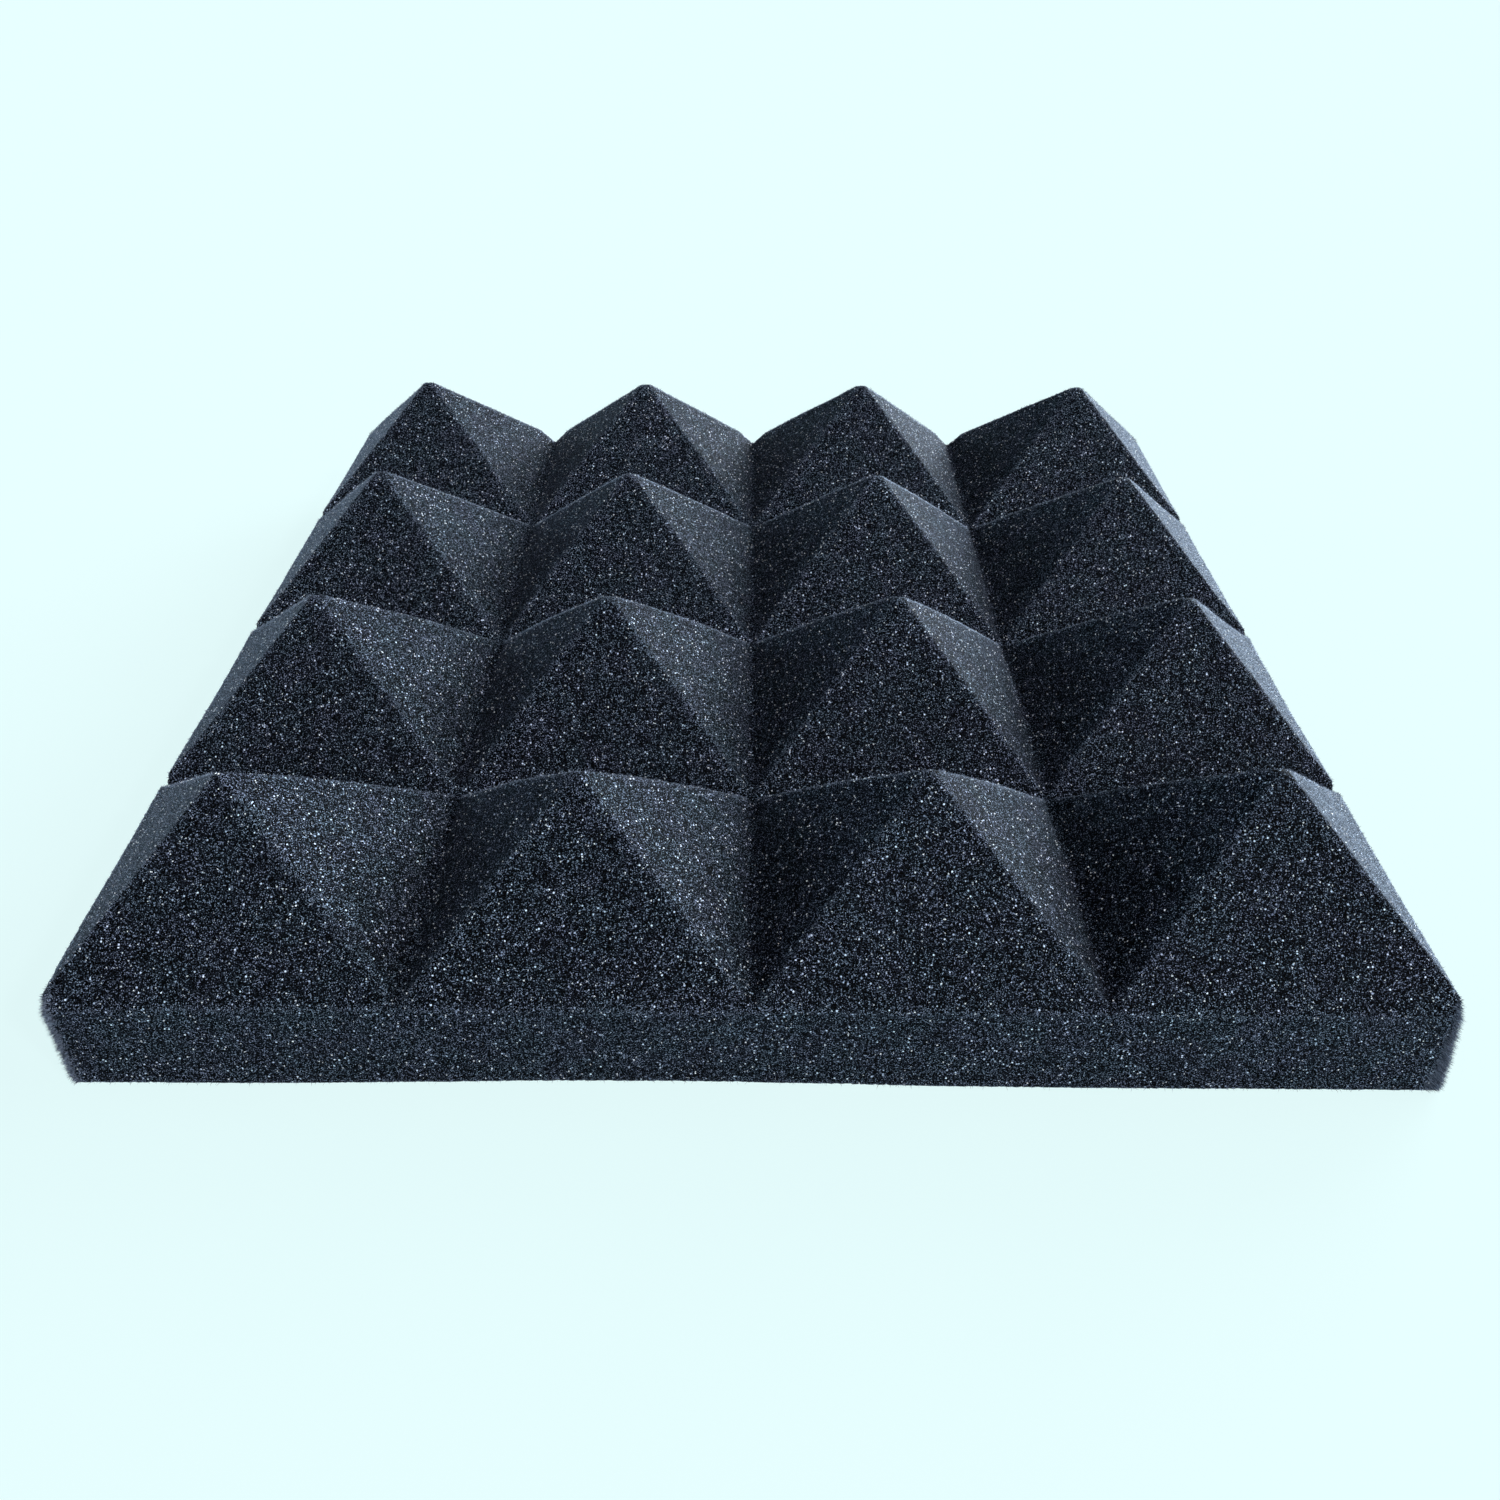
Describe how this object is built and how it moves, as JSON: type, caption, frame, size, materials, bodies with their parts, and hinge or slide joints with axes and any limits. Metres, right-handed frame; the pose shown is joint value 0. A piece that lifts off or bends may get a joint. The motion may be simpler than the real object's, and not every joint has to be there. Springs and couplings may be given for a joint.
{
  "type": "acoustic foam panel",
  "caption": "Square sound-absorbing panel cut from one block of dark open-cell foam, with rows of pyramids on a plain slab and a flat back for mounting on a wall.",
  "frame": {"origin": "the middle of the flat underside, which is the back of the panel on a wall", "axes": "+Z out of the flat back towards the pyramids' tips, X and Y along the edges, with the edge that shows in front in the picture on the -Y side"},
  "size_m": [0.25, 0.25, 0.05],
  "materials": {
    "charcoal_foam": "matt open-cell polyurethane foam, charcoal, with small glinting cell walls"
  },
  "bodies": {
    "root": {"foam_panel": "charcoal_foam"}
  },
  "joints": []
}
